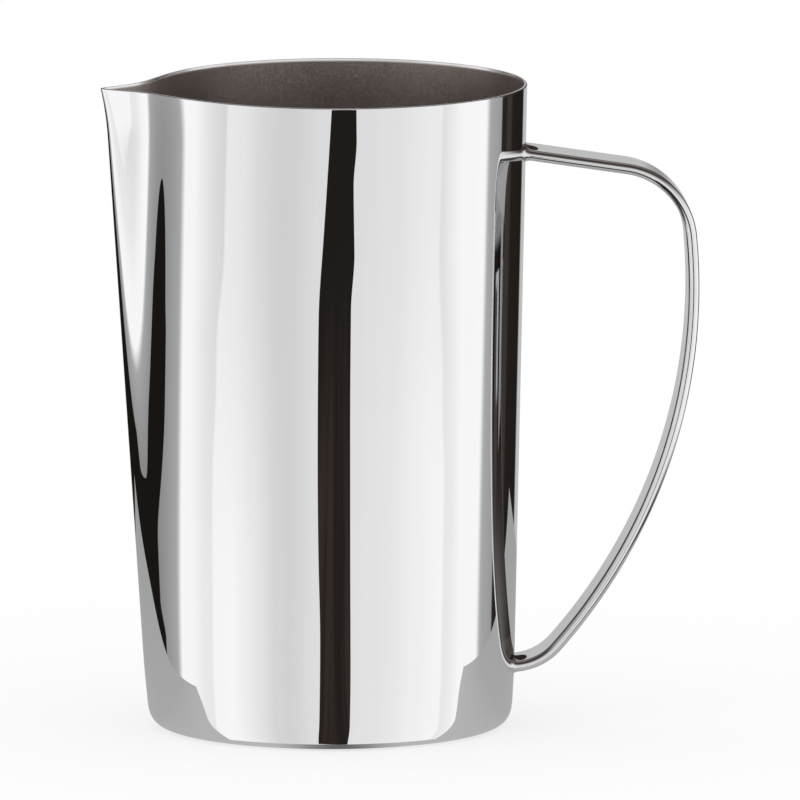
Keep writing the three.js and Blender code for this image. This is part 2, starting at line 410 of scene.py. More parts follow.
upper_joint = np.array([back_wall(JUG_HEIGHT - UPPER_JOINT_DROP), JUG_HEIGHT - UPPER_JOINT_DROP])
lower_joint = np.array([back_wall(LOWER_JOINT_HEIGHT), LOWER_JOINT_HEIGHT])
arm_out = np.array([math.cos(ARM_FALL), -math.sin(ARM_FALL)])
heel_out = np.array([math.cos(HEEL_FALL), math.sin(HEEL_FALL)])
print("strap joints in mm", np.round(upper_joint, 1), np.round(lower_joint, 1))

# %% The handle's line
HANDLE_REACH = 88.0
WIDEST_DROP = 32.8
SHOULDER_RADIUS = 18.5
HEEL_RADIUS = 14.0
STRAP_ROWS = 420
SUNK = 0.5


def handle_line():
    """Points and headings along the strap: line, arc, arc, arc, line, each touching the next.

    The sweep's radius follows from the reach and the heel. The arm's length is the root of the quadratic
    that makes the shoulder touch the sweep from inside.
    """
    widest = JUG_HEIGHT - UPPER_JOINT_DROP - WIDEST_DROP
    heel = lower_joint + HEEL_RADIUS * np.array([-heel_out[1], heel_out[0]])
    across, above = HANDLE_REACH - heel[0], widest - heel[1]
    sweep_radius = (across ** 2 + above ** 2 - HEEL_RADIUS ** 2) / (2 * (across - HEEL_RADIUS))
    sweep = np.array([HANDLE_REACH - sweep_radius, widest])
    start = upper_joint + SHOULDER_RADIUS * np.array([arm_out[1], -arm_out[0]]) - sweep
    along = start @ arm_out
    arm = math.sqrt(along ** 2 - start @ start + (sweep_radius - SHOULDER_RADIUS) ** 2) - along
    shoulder = sweep + start + arm * arm_out
    shoulder_end = math.atan2(*(shoulder - sweep)[::-1])
    heel_start = math.atan2(*(heel - sweep)[::-1])
    turns = [
        (SHOULDER_RADIUS, math.pi / 2 - ARM_FALL, shoulder_end, shoulder),
        (sweep_radius, shoulder_end, heel_start, sweep),
        (HEEL_RADIUS, heel_start, HEEL_FALL - math.pi / 2, heel),
    ]
    lengths = [arm + SUNK, *(radius * (first - last) for radius, first, last, _ in turns), SUNK]
    ends = np.concatenate([[0.0], np.cumsum(lengths)])
    travel = np.linspace(0, ends[-1], STRAP_ROWS)
    points = upper_joint + (travel - SUNK)[:, None] * arm_out
    headings = np.full(STRAP_ROWS, -ARM_FALL)
    for (radius, first, _, centre), begin in zip(turns, ends[1:4]):
        angle = first - (travel - begin) / radius
        arc = centre + radius * np.stack([np.cos(angle), np.sin(angle)], axis=1)
        here = travel >= begin
        points = np.where(here[:, None], arc, points)
        headings = np.where(here, angle - math.pi / 2, headings)
    tail = travel >= ends[4]
    points = np.where(tail[:, None], lower_joint - (travel - ends[4])[:, None] * heel_out, points)
    headings = np.where(tail, HEEL_FALL - math.pi, headings)
    print("strap length", round(ends[-1], 1), "mm, sweep radius", round(sweep_radius, 1), "mm")
    return points, headings


# %% The strap's section, carried along the line
STRAP_WIDTH = 16.0
STRAP_THICKNESS = 2.6
EDGE_COLUMNS = 32
FLAT_COLUMNS = 10


def strap_outline(grow=0.0):
    """Strap section as (across, out): two half circles joined by flats, grown outwards all round."""
    flat = (STRAP_WIDTH - STRAP_THICKNESS) / 2
    turn = np.linspace(-math.pi / 2, math.pi / 2, EDGE_COLUMNS)
    even = np.linspace(-1, 1, FLAT_COLUMNS + 2)[1:-1] * flat
    right = np.stack([np.full(EDGE_COLUMNS, flat), np.zeros(EDGE_COLUMNS)], axis=1)
    top = np.stack([-even, np.zeros(FLAT_COLUMNS)], axis=1)
    middle = np.concatenate([right, top, -right, -top])
    normal = np.concatenate([
        np.stack([np.cos(turn), np.sin(turn)], axis=1),
        np.tile([0.0, 1.0], (FLAT_COLUMNS, 1)),
        np.stack([-np.cos(turn), -np.sin(turn)], axis=1),
        np.tile([0.0, -1.0], (FLAT_COLUMNS, 1)),
    ])
    return middle + (STRAP_THICKNESS / 2 + grow) * normal


def make_strap():
    """The section at every point of the line: across along y, out along the line's normal."""
    line, heading = handle_line()
    outline = strap_outline()
    normal = np.stack([-np.sin(heading), np.cos(heading)], axis=1)
    x = line[:, None, 0] + outline[None, :, 1] * normal[:, None, 0]
    z = line[:, None, 1] + outline[None, :, 1] * normal[:, None, 1]
    y = np.broadcast_to(outline[None, :, 0], x.shape)
    points = np.stack([x, y, z], axis=-1) * MM
    poles = np.array([[line[0, 0], 0, line[0, 1]], [line[-1, 0], 0, line[-1, 1]]]) * MM
    return grid_mesh("jug_strap", points, poles=poles)


strap = make_strap()

# %% [markdown]
# ## The welds
# Each end of the strap is welded all round, and the weld is ground and polished to a low hollow fillet that
# runs out along the strap. It is a quarter ellipse carried round the strap. The wall is round and the strap
# meets it at a slant, so each point is set back by both. The ring's hidden side lies inside the strap and
# the wall.

# %% Weld rings
WELD_HEIGHT = 0.7
WELD_LENGTH = 2.4
WELD_ROWS = 14
WELD_BITE = 0.06
WELD_HIDDEN = 0.24


def make_weld(name, joint, out):
    """Rows turn from the wall to the strap: grow = height * (1 - sin), stand-off = length * (1 - cos).

    Two more rows close the ring under the skins of the strap and the wall.
    """
    turn = np.linspace(0, math.pi / 2, WELD_ROWS)
    hidden_grow = [-WELD_HIDDEN, WELD_HEIGHT / 2]
    hidden_stand = [WELD_LENGTH / 2, -WELD_HIDDEN]
    grow = np.concatenate([WELD_HEIGHT * (1 - np.sin(turn)) - WELD_BITE, hidden_grow])
    stand = np.concatenate([WELD_LENGTH * (1 - np.cos(turn)) - WELD_BITE, hidden_stand])
    outline = np.stack([strap_outline(value) for value in grow])
    across, up = outline[..., 0], outline[..., 1]
    wall_radius = back_wall(joint[1]) - MOUTH_SHIFT * float(rise_at(joint[1])) ** SHIFT_POWER
    set_back = wall_radius - np.sqrt(wall_radius ** 2 - across ** 2)
    along = stand[:, None] - set_back + up * out[1] / out[0]
    x = joint[0] + along * out[0] - up * out[1]
    z = joint[1] + along * out[1] + up * out[0]
    return grid_mesh(name, np.stack([x, across, z], axis=-1) * MM, close_rows=True)


upper_weld = make_weld("upper_weld_fillet", upper_joint, arm_out)
lower_weld = make_weld("lower_weld_fillet", lower_joint, heel_out)

# %% [markdown]
# ## Wiring helper
# Finishes, studio and floor are all node trees. Most of their nodes are sums, fades and mixes, so a small
# class adds one such node per call and hands back its output. A formula then reads like arithmetic.

# %% Small helper for node trees
# Places of the colour sockets on a Mix node, which also has sockets for other kinds of value.
MIX_FIRST, MIX_SECOND, MIX_RESULT = 6, 7, 2


class Wires:
    """Adds arithmetic and mixing nodes to one node tree and joins them up."""

    def __init__(self, tree):
        self.nodes, self.links = tree.nodes, tree.links
        self.nodes.clear()

    def put(self, socket, value):
        """Join an output to a socket, or set a plain value on it."""
        if isinstance(value, bpy.types.NodeSocket):
            self.links.new(value, socket)
        else:
            socket.default_value = value

    def math(self, operation, *values):
        """One arithmetic node."""
        node = self.nodes.new("ShaderNodeMath")
        node.operation = operation
        for socket, value in zip(node.inputs, values):
            self.put(socket, value)
        return node.outputs[0]

    def grey(self, factor, first, second):
        """Plain mix of two numbers."""
        rest = self.math("SUBTRACT", 1.0, factor)
        return self.math("ADD", self.math("MULTIPLY", rest, first), self.math("MULTIPLY", factor, second))

    def colour(self, factor, first, second):
        """Mix of two colours."""
        node = self.nodes.new("ShaderNodeMix")
        node.data_type = "RGBA"
        self.put(node.inputs["Factor"], factor)
        self.put(node.inputs[MIX_FIRST], first)
        self.put(node.inputs[MIX_SECOND], second)
        return node.outputs[MIX_RESULT]

    def shaders(self, factor, first, second):
        """Mix of two shaders."""
        node = self.nodes.new("ShaderNodeMixShader")
        self.put(node.inputs["Fac"], factor)
        self.links.new(first, node.inputs[1])
        self.links.new(second, node.inputs[2])
        return node.outputs[0]

    def fade(self, value, start, end):
        """Smooth step from 0 at start to 1 at end."""
        node = self.nodes.new("ShaderNodeMapRange")
        node.interpolation_type = "SMOOTHSTEP"
        self.put(node.inputs["Value"], value)
        self.put(node.inputs["From Min"], start)
        self.put(node.inputs["From Max"], end)
        return node.outputs["Result"]

    def noise(self, vector, scale, detail):
        """Noise between 0 and 1 at a place."""
        node = self.nodes.new("ShaderNodeTexNoise")
        self.put(node.inputs["Vector"], vector)
        node.inputs["Scale"].default_value = scale
        node.inputs["Detail"].default_value = detail
        return node.outputs["Fac"]

    def place(self, output):
        """The x, y and z of a texture coordinate."""
        node = self.nodes.new("ShaderNodeTexCoord")
        split = self.nodes.new("ShaderNodeSeparateXYZ")
        self.links.new(node.outputs[output], split.inputs[0])
        return split.outputs


# %% [markdown]
# ## Steel finishes
# The outside is mirror polished, the inside has the fine satin of the drawing tool, and the welds are a
# little softer than the strap. The deburred rim is softer too. The inside is also coloured darker and
# warmer than the outside, which is painted shade of the jug's dim inside. All of them carry fine marks
# from the wheel or the tool. A picture of scratches could show them, but it blurs close up, so they are
# noise in one node group. It is stretched along the wheel's direction, or even for satin, and gives a
# colour, a roughness and a height, which all change over the surface. Values that are the same all over
# are set on the shader.

# %% Polish mark group
HAIR_DETAIL = 4.0
HAIR_RANGE = (0.30, 0.70)
CLOUD_SCALE = 28.0
CLOUD_DETAIL = 3.0
WORN_RANGE = (0.12, 0.45)


def polish_marks_group():
    """Stretched fine noise: a colour and a roughness between two values, and a height for the bump."""
    group = bpy.data.node_groups.new("polish_marks", "ShaderNodeTree")
    inputs = (
        ("Stretch", "NodeSocketVector"), ("Bright", "NodeSocketColor"), ("Dull", "NodeSocketColor"),
        ("Smooth", "NodeSocketFloat"), ("Worn", "NodeSocketFloat"),
    )
    outputs = (
        ("Color", "NodeSocketColor"), ("Roughness", "NodeSocketFloat"), ("Height", "NodeSocketFloat"),
    )
    for label, kind in inputs:
        group.interface.new_socket(label, in_out="INPUT", socket_type=kind)
    for label, kind in outputs:
        group.interface.new_socket(label, in_out="OUTPUT", socket_type=kind)
    wires = Wires(group)
    inside = wires.nodes.new("NodeGroupInput")
    outside = wires.nodes.new("NodeGroupOutput")
    place = wires.nodes.new("ShaderNodeTexCoord")
    scaled = wires.nodes.new("ShaderNodeVectorMath")
    scaled.operation = "MULTIPLY"
    wires.put(scaled.inputs[0], place.outputs["Object"])
    wires.put(scaled.inputs[1], inside.outputs["Stretch"])
    hairs = wires.noise(scaled.outputs[0], 1.0, HAIR_DETAIL)
    clouds = wires.noise(place.outputs["Object"], CLOUD_SCALE, CLOUD_DETAIL)
    share = wires.fade(hairs, *HAIR_RANGE)
    worn = wires.fade(wires.math("MULTIPLY", hairs, clouds), *WORN_RANGE)
    colour = wires.colour(share, inside.outputs["Dull"], inside.outputs["Bright"])
    roughness = wires.grey(worn, inside.outputs["Smooth"], inside.outputs["Worn"])
    wires.put(outside.inputs["Color"], colour)
    wires.put(outside.inputs["Roughness"], roughness)
    wires.put(outside.inputs["Height"], hairs)
    return group


polish_marks = polish_marks_group()
print("group", polish_marks.name, "of", len(polish_marks.nodes), "nodes")

# %% [markdown]
# At each joint a small dark spot is painted into the corner between strap and wall: a painted dark
# reflection, standing in for the dark that the hollow weld mirrors there. It is an ellipse on the strap's
# upper side, drawn out across the strap and a little off its middle.

# %% Painted dark reflection group
# Painted dark reflection at each joint: its place and size on the strap, its soft edge and its colour.
DARK_REFLECTION_MIDDLE = (1.45 * MM, -2.2 * MM)
DARK_REFLECTION_RADII = (1.6 * MM, 4.2 * MM)
DARK_REFLECTION_EDGE = (-0.10, 0.15)
DARK_REFLECTION_COLOUR = (0.042, 0.032, 0.028, 1.0)


def dark_reflection_at(wires, place, joint, out):
    """1 inside the ellipse on the strap's upper side at one joint, 0 outside."""
    x, y, z = place
    along = wires.math("SUBTRACT", x, joint[0] * MM)
    squares = [
        wires.math("POWER", wires.math("DIVIDE", wires.math("SUBTRACT", value, middle), radius), 2.0)
        for value, middle, radius in zip((along, y), DARK_REFLECTION_MIDDLE, DARK_REFLECTION_RADII)
    ]
    edge = wires.math("SUBTRACT", 1.0, wires.math("ADD", *squares))
    fall = wires.math("MULTIPLY", along, out[1] / out[0])
    rise = wires.math("SUBTRACT", wires.math("SUBTRACT", z, joint[1] * MM), fall)
    above = wires.math("GREATER_THAN", rise, 0.0)
    upper = wires.math("MULTIPLY", above, wires.math("LESS_THAN", rise, STRAP_THICKNESS * MM))
    return wires.math("MULTIPLY", upper, wires.fade(edge, *DARK_REFLECTION_EDGE))


def dark_reflection_group():
    """Steel colour with the painted dark reflections of both joints laid over it, and where the metal is
    bare.
    """
    group = bpy.data.node_groups.new("dark_reflection", "ShaderNodeTree")
    group.interface.new_socket("Steel", in_out="INPUT", socket_type="NodeSocketColor")
    group.interface.new_socket("Color", in_out="OUTPUT", socket_type="NodeSocketColor")
    group.interface.new_socket("Metallic", in_out="OUTPUT", socket_type="NodeSocketFloat")
    wires = Wires(group)
    inside = wires.nodes.new("NodeGroupInput")
    outside = wires.nodes.new("NodeGroupOutput")
    place = wires.place("Object")
    spots = [dark_reflection_at(wires, place, *at) for at in ((upper_joint, arm_out), (lower_joint, heel_out))]
    both = wires.math("MAXIMUM", *spots)
    wires.put(outside.inputs["Color"], wires.colour(both, inside.outputs["Steel"], DARK_REFLECTION_COLOUR))
    wires.put(outside.inputs["Metallic"], wires.math("SUBTRACT", 1.0, both))
    return group


dark_reflection = dark_reflection_group()
print("group", dark_reflection.name, "of", len(dark_reflection.nodes), "nodes")

# %% [markdown]
# Every finish is one metal shader. Its marks come from the first group, and on the strap and the welds the
# second group lays the painted dark reflections over them and takes the metal away there, so they stay dark.

# %% Finishes
RELIEF_DEPTH = 0.02 * MM


def steel_finish(name, bright, dull, stretch, roughness, bump, with_dark_reflection=False):
    """Bare steel: one shader, with its marks, and the painted dark reflections where asked, from the shared
    groups.
    """
    material = bpy.data.materials.new(name)
    material.use_nodes = True
    nodes, links = material.node_tree.nodes, material.node_tree.links
    shader = nodes["Principled BSDF"]
    shader.inputs["Metallic"].default_value = 1.0
    marks = nodes.new("ShaderNodeGroup")
    marks.node_tree = polish_marks
    marks.inputs["Stretch"].default_value = stretch
    marks.inputs["Bright"].default_value = (*bright, 1.0)
    marks.inputs["Dull"].default_value = (*dull, 1.0)
    marks.inputs["Smooth"].default_value = roughness[0]
    marks.inputs["Worn"].default_value = roughness[1]
    colour = marks.outputs["Color"]
    if with_dark_reflection:
        tint = nodes.new("ShaderNodeGroup")
        tint.node_tree = dark_reflection
        links.new(colour, tint.inputs["Steel"])
        links.new(tint.outputs["Metallic"], shader.inputs["Metallic"])
        # Where the painted dark reflections lie the steel is no metal and has no shine, so only their dark
        # colour shows.
        shader.inputs["Specular IOR Level"].default_value = 0.0
        colour = tint.outputs["Color"]
    links.new(colour, shader.inputs["Base Color"])
    links.new(marks.outputs["Roughness"], shader.inputs["Roughness"])
    relief = nodes.new("ShaderNodeBump")
    relief.inputs["Strength"].default_value = bump
    relief.inputs["Distance"].default_value = RELIEF_DEPTH
    links.new(marks.outputs["Height"], relief.inputs["Height"])
    links.new(relief.outputs["Normal"], shader.inputs["Normal"])
    return material


mirror_steel = steel_finish(
    "mirror_polished_steel", bright=(0.865, 0.865, 0.875), dull=(0.85, 0.85, 0.86),
    stretch=(260, 260, 9), roughness=(0.004, 0.016), bump=0.02,
)
# The inside's colours are darker and warmer than the outside's: painted shade of the jug's dim inside, over
# its real satin.
satin_steel_painted_shade = steel_finish(
    "satin_drawn_steel_painted_shade", bright=(0.60, 0.527, 0.503), dull=(0.54, 0.473, 0.449),
    stretch=(1700, 1700, 1700), roughness=(0.28, 0.40), bump=0.30,
)
rim_steel = steel_finish(
    "deburred_rim_steel", bright=(0.88, 0.88, 0.89), dull=(0.82, 0.81, 0.81),
    stretch=(900, 900, 900), roughness=(0.16, 0.26), bump=0.05,
)
strap_steel = steel_finish(
    "polished_strap_steel", bright=(0.87, 0.87, 0.88), dull=(0.84, 0.84, 0.85),
    stretch=(90, 2500, 90), roughness=(0.015, 0.05), bump=0.01, with_dark_reflection=True,
)
weld_steel = steel_finish(
    "ground_weld_steel", bright=(0.85, 0.85, 0.86), dull=(0.76, 0.75, 0.75),
    stretch=(1500, 1500, 1500), roughness=(0.05, 0.14), bump=0.05, with_dark_reflection=True,
)

# The order is that of the shell's finish numbers: outside, rim, inside.
for finish in (mirror_steel, rim_steel, satin_steel_painted_shade):
    shell.data.materials.append(finish)
strap.data.materials.append(strap_steel)
upper_weld.data.materials.append(weld_steel)
lower_weld.data.materials.append(weld_steel)
print("finishes", [material.name for material in bpy.data.materials if material.users])

# %% [markdown]
# ## The studio
# Photographers put a mirror finish into a tent of white cloth: the camera looks in through a slit, and
# dark gaps between the cloths draw the black lines that give the metal its form. Cloths and cards could be
# modelled one by one, but they stand far off and the jug mirrors only their brightness. So the world is the
# tent, written as bands of brightness by compass angle, with the camera's direction at zero. Each band has
# one level for the upper part of the cloth and one for its lower part.

# %% Bands of cloth
BANDS_START = -150
# Places of the two levels in a band, after its angle in degrees.
UPPER, LOWER = 1, 2
BANDS = [
    (-150, 0.05, 0.05), (-111, 0.42, 0.42), (-109, 0.47, 0.47), (-105, 1.08, 1.08), (-97, 1.07, 1.07),
    (-90, 0.93, 1.03), (-84, 0.83, 0.95), (-76, 0.775, 0.935), (-75.4, 0.96, 1.075), (-62, 0.91, 1.07),
    (-47, 0.795, 0.92), (-35, 0.727, 0.772), (-25, 0.738, 0.742), (-12, 0.82, 0.835), (16, 0.835, 0.872),
    (36, 0.865, 0.91), (52, 0.935, 1.0), (71.5, 0.965, 1.07), (72.3, 0.845, 0.93), (79, 0.95, 0.98),
    (87, 1.075, 1.075), (104, 1.08, 1.08), (107.5, 0.47, 0.47), (110, 0.43, 0.43), (120.6, 0.36, 0.36),
    (121.4, 0.022, 0.022), (126.5, 0.018, 0.018), (128, 0.044, 0.044), (133.5, 0.040, 0.040),
    (135.5, 0.016, 0.016), (150, 0.014, 0.014),
]
WARM_BELOW = 0.05
WARM = (1.18, 0.94, 0.80)
NEUTRAL = (1.0, 1.0, 1.0)


def compass_angle(wires, x, y):
    """Angle of a level direction from the camera's side, between -180 and 180 degrees."""
    compass = wires.math("ARCTAN2", x, wires.math("MULTIPLY", y, -1.0))
    return wires.math("WRAP", wires.math("SUBTRACT", compass, CAMERA_AZIMUTH), math.pi, -math.pi)


def band_ramp(wires, angle, part):
    """The bands as a colour ramp, with the levels of the cloth's UPPER or LOWER part. Dark ones are warm."""
    ramp = wires.nodes.new("ShaderNodeValToRGB")
    stops = ramp.color_ramp.elements
    stops.remove(stops[-1])
    for band in BANDS:
        on_ramp = (band[0] - BANDS_START) / 360
        stop = stops.new(on_ramp) if on_ramp else stops[0]
        tint = WARM if band[part] < WARM_BELOW else NEUTRAL
        stop.color = (*(band[part] * share for share in tint), 1.0)
    turns = wires.math("SUBTRACT", wires.math("DIVIDE", angle, 2 * math.pi), BANDS_START / 360)
    wires.put(ramp.inputs["Fac"], wires.math("FRACT", turns))
    return ramp.outputs["Color"]


print("tent bands", len(BANDS))

# %% [markdown]
# Cloth seldom hangs straight, so some of its edges lean. The ramp is then read at an angle that shifts with
# the height, and the shift fades out to all sides. The black gap on the left has a sharper edge than a ramp
# can give, so it is a comparison with a line of its own, which also shifts with the height.

# %% Edges that lean, in degrees
BAND_LEANS = (
    ((-100, -76), (-48, -66), (-7.6, -6.8), -4.4),
    ((-100, -82), (-55, -68), (-7.9, -8.8), 2.3),
    ((50, 64), (90, 78), (-9.75, -9.1), 4.4),
    ((50, 64), (90, 78), (-9.75, -10.1), -2.5),
)
BLACK_LEFT = -121.6
BLACK_SHIFTS = ((-8.0, -9.0, -4.6), (-9.55, -9.9, 4.6), (-7.6, -7.4, -0.6))


def leaning_angle(wires, angle, height):
    """Angle at which the ramp is read: the sum of all shifts, each times its fades by side and height."""
    leant = angle
    for left, right, level, shift in BAND_LEANS:
        from_left = wires.fade(angle, *np.radians(left))
        between = wires.math("MULTIPLY", from_left, wires.fade(angle, *np.radians(right)))
        share = wires.math("MULTIPLY", between, wires.fade(height, *np.radians(level)))
        leant = wires.math("MULTIPLY_ADD", share, math.radians(shift), leant)
    return leant


def left_gap(wires, angle, height):
    """1 in the black gap on the left, 0 elsewhere. Each shift moves its edge between two heights."""
    edge = math.radians(BLACK_LEFT)
    for start, end, shift in np.radians(BLACK_SHIFTS):
        edge = wires.math("MULTIPLY_ADD", wires.fade(height, start, end), shift, edge)
    return wires.math("LESS_THAN", angle, edge)


print("leaning edges", len(BAND_LEANS), "shifts of the black gap", len(BLACK_SHIFTS))

# %% [markdown]
# A grey card stands behind the jug. The top of the handle mirrors it, and so does the outermost edge of the
# wall. Its right part lies in shade higher up, and so does its top, which keeps the strap's image in the wall
# as dark as it should be.

# %% The card behind the jug
CARD_RIGHT = (math.radians(156), math.radians(160))
CARD_LEFT = (math.radians(-164), math.radians(-168))
CARD_FOOT = (math.radians(-9.6), math.radians(-9.0))
CARD_TOP = (math.radians(12), math.radians(17))
CARD_GREY = (0.55, 0.55, 0.55, 1.0)
CARD_SHADE = (0.095, 0.075, 0.068, 1.0)
CARD_SHADE_FOOT = (math.radians(-7.5), math.radians(-5.0))
CARD_SHADE_END = (math.radians(175.5), math.radians(173))


def card_behind(wires, angle, height):
    """How much of a direction the card takes up, and its colour there."""
    right = wires.fade(angle, *CARD_RIGHT)
    behind = wires.math("MAXIMUM", right, wires.fade(angle, *CARD_LEFT))
    share = wires.math("MULTIPLY", behind, wires.fade(height, *CARD_FOOT))
    right_part = wires.math("MULTIPLY", wires.fade(angle, *CARD_SHADE_END), right)
    shaded = wires.math("MULTIPLY", right_part, wires.fade(height, *CARD_SHADE_FOOT))
    shaded = wires.math("MAXIMUM", shaded, wires.fade(height, *CARD_TOP))
    return share, wires.colour(shaded, CARD_GREY, CARD_SHADE)


print("card greys", CARD_GREY[0], CARD_SHADE[0])

# %% [markdown]
# Now the parts become the world. Under the cloth lies the floor, dark far off, paler near by and grey at the
# back. Above it the room is dark but for a weak lamp at the back. Only mirrors see all this: the camera and
# dull surfaces see plain white.

# %% The tent as the world
WHITE = (1.0, 1.0, 1.0, 1.0)
BLACK = (0.0105, 0.0088, 0.0074, 1.0)
BAND_LOWER = (math.radians(-7.45), math.radians(-10.2))
BAND_TILT = -0.0214
BAND_TOP = (math.radians(6), math.radians(50))
BAND_FOOT = (math.radians(-30), math.radians(-20))
FAR_FLOOR = (0.060, 0.055, 0.050, 1.0)
NEAR_FLOOR = (0.46, 0.46, 0.465, 1.0)
NEAR_FLOOR_TOP = (math.radians(-46), math.radians(-64))
BACK_ANGLE = (math.radians(118), math.radians(130))
BACK_FLOOR = (0.30, 0.30, 0.305, 1.0)
BACK_FLOOR_TOP = (math.radians(-13), math.radians(-17))
CEILING = (0.060, 0.049, 0.045, 1.0)
LAMP_ANGLE = (math.radians(95), math.radians(140))
LAMP_FOOT = (math.radians(30), math.radians(58))
LAMP = (0.24, 0.225, 0.215, 1.0)


def cloth_colour(wires, angle, height):
    """Bands of cloth with the black gap and the card laid over them.

    The lower levels take over between two heights, of which the upper one tilts with the angle.
    """
    leant = leaning_angle(wires, angle, height)
    upper_end = wires.math("MULTIPLY_ADD", angle, BAND_TILT, BAND_LOWER[0])
    lower = wires.fade(height, upper_end, BAND_LOWER[1])
    bands = wires.colour(lower, band_ramp(wires, leant, UPPER), band_ramp(wires, leant, LOWER))
    strips = wires.colour(left_gap(wires, angle, height), bands, BLACK)
    card, card_colour = card_behind(wires, angle, height)
    return wires.colour(card, strips, card_colour)


def tent_world():
    """Floor, cloth and ceiling by height for glossy rays, plain white for all others."""
    world = bpy.data.worlds.new("tent")
    world.use_nodes = True
    bpy.context.scene.world = world
    wires = Wires(world.node_tree)
    x, y, z = wires.place("Generated")
    angle = compass_angle(wires, x, y)
    aside = wires.math("ABSOLUTE", angle)
    height = wires.math("ARCSINE", z)
    floor = wires.colour(wires.fade(height, *NEAR_FLOOR_TOP), FAR_FLOOR, NEAR_FLOOR)
    low = wires.colour(wires.fade(height, *BAND_FOOT), floor, cloth_colour(wires, angle, height))
    back = wires.math("MULTIPLY", wires.fade(aside, *BACK_ANGLE), wires.fade(height, *BACK_FLOOR_TOP))
    low = wires.colour(back, low, BACK_FLOOR)
    lamp = wires.math("MULTIPLY", wires.fade(aside, *LAMP_ANGLE), wires.fade(height, *LAMP_FOOT))
    high = wires.colour(lamp, CEILING, LAMP)
    tent = wires.colour(wires.fade(height, *BAND_TOP), low, high)
    path = wires.nodes.new("ShaderNodeLightPath")
    light = wires.nodes.new("ShaderNodeBackground")
    wires.put(light.inputs["Color"], wires.colour(path.outputs["Is Glossy Ray"], WHITE, tent))
    output = wires.nodes.new("ShaderNodeOutputWorld")
    wires.put(output.inputs["Surface"], light.outputs[0])
    return world


bpy.context.scene.view_settings.view_transform = "Standard"
print("world", tent_world().name)

# %% [markdown]
# ## The floor
# To the eye the table is a plain pale sheet with the jug's faint shadow. What the jug mirrors of it is
# drawn on it by place, in metres from the jug's axis. A mirror shows lines on a floor exactly, so a few
# formulas for lines do what a modelled table would. First comes the grey table top. It starts under the
# foot, its front line bends back on both sides, and it widens to the back. Each straight line is a slope
# and an offset.

# %% Grey table top
TABLE_FRONT = (-0.03, -0.0345)
FRONT_BEND_LEFT = (3.2, 0.045)
FRONT_BEND_RIGHT = (2.0, 0.080)
TABLE_BACK = 0.270
TABLE_LEFT = (-0.50, -0.112)
TABLE_RIGHT = (0.47, 0.147)
TABLE_GREY = 0.44
TABLE_GREY_FRONT = -2.4
TABLE_GREY_BACK = -0.25
# Painted contact shadow round the foot on the mirrored floor: its grey, and how it fades to the sides.
CONTACT_SHADOW_GREY = 0.14
CONTACT_SHADOW_FADE = (0.0, 0.018)


def bent_back(wires, aside, bend, start):
    """How far the front line has bent back: bend * (aside - start) ** 2 past its start."""
    past = wires.math("MAXIMUM", 0.0, wires.math("SUBTRACT", aside, start))
    return wires.math("MULTIPLY", bend, wires.math("POWER", past, 2.0))


def table_top(wires, x, y):
    """1 on the table top, which lies between a bent front line, two slanted sides and a straight back."""
    aside = wires.math("ABSOLUTE", x)
    on_right = wires.math("GREATER_THAN", x, 0.0)
    bends = [bent_back(wires, aside, *bend) for bend in (FRONT_BEND_LEFT, FRONT_BEND_RIGHT)]
    front = wires.math("ADD", wires.math("MULTIPLY_ADD", x, *TABLE_FRONT), wires.grey(on_right, *bends))
    behind_front = wires.math("GREATER_THAN", y, front)
    depth = wires.math("MULTIPLY", behind_front, wires.math("LESS_THAN", y, TABLE_BACK))
    past_left = wires.math("GREATER_THAN", x, wires.math("MULTIPLY_ADD", y, *TABLE_LEFT))
    before_right = wires.math("LESS_THAN", x, wires.math("MULTIPLY_ADD", y, *TABLE_RIGHT))
    return wires.math("MULTIPLY", depth, wires.math("MULTIPLY", past_left, before_right))


def table_grey(wires, x, y, contact_shadow):
    """Table grey: paler in front, darker behind, painted contact shadow darkest in the middle under the foot.
    """
    grey = wires.math("MULTIPLY_ADD", wires.math("MINIMUM", y, 0.0), TABLE_GREY_FRONT, TABLE_GREY)
    grey = wires.math("MULTIPLY_ADD", wires.math("MAXIMUM", y, 0.0), TABLE_GREY_BACK, grey)
    middle = wires.math("SUBTRACT", 1.0, wires.fade(wires.math("ABSOLUTE", x), *CONTACT_SHADOW_FADE))
    return wires.grey(wires.math("MULTIPLY", contact_shadow, middle), grey, CONTACT_SHADOW_GREY)


print("table top reaches", TABLE_BACK, "m back")

# %% [markdown]
# Round the foot lies a white sheet, which the corner of the base mirrors at steep angles, where the cloth
# ends. It has to carry on the cloth's bands without a step. So each place on it takes the level of the band
# that the foot mirrors across that place.

# %% White sheet round the foot
SHEET_RADIUS = 0.058
SHEET_HEIGHT = math.radians(-12)
SOLVE_ROUNDS = 2


def facing_angle(wires, x, y, radius):
    """Compass angle of the cloth that the foot mirrors across a place on the floor beside it.

    The angle D has sin(D - place) = foot / radius * sin(D / 2). A first guess of
    D = place * 2 * radius / (2 * radius - foot) is put through that equation a few times.
    """
    foot = BASE_RADIUS * MM
    place = compass_angle(wires, x, y)
    twice = wires.math("MULTIPLY", radius, 2.0)
    angle = wires.math("DIVIDE", wires.math("MULTIPLY", place, twice), wires.math("SUBTRACT", twice, foot))
    share = wires.math("DIVIDE", foot, radius)
    for _ in range(SOLVE_ROUNDS):
        half = wires.math("SINE", wires.math("MULTIPLY", angle, 0.5))
        angle = wires.math("ADD", place, wires.math("ARCSINE", wires.math("MULTIPLY", share, half)))
    return angle


def sheet_colour(wires, x, y, radius):
    """The lower level of the facing band, with the lean that its edges have low down."""
    facing = facing_angle(wires, x, y, radius)
    return band_ramp(wires, leaning_angle(wires, facing, SHEET_HEIGHT), LOWER)


print("white sheet radius", SHEET_RADIUS, "m")
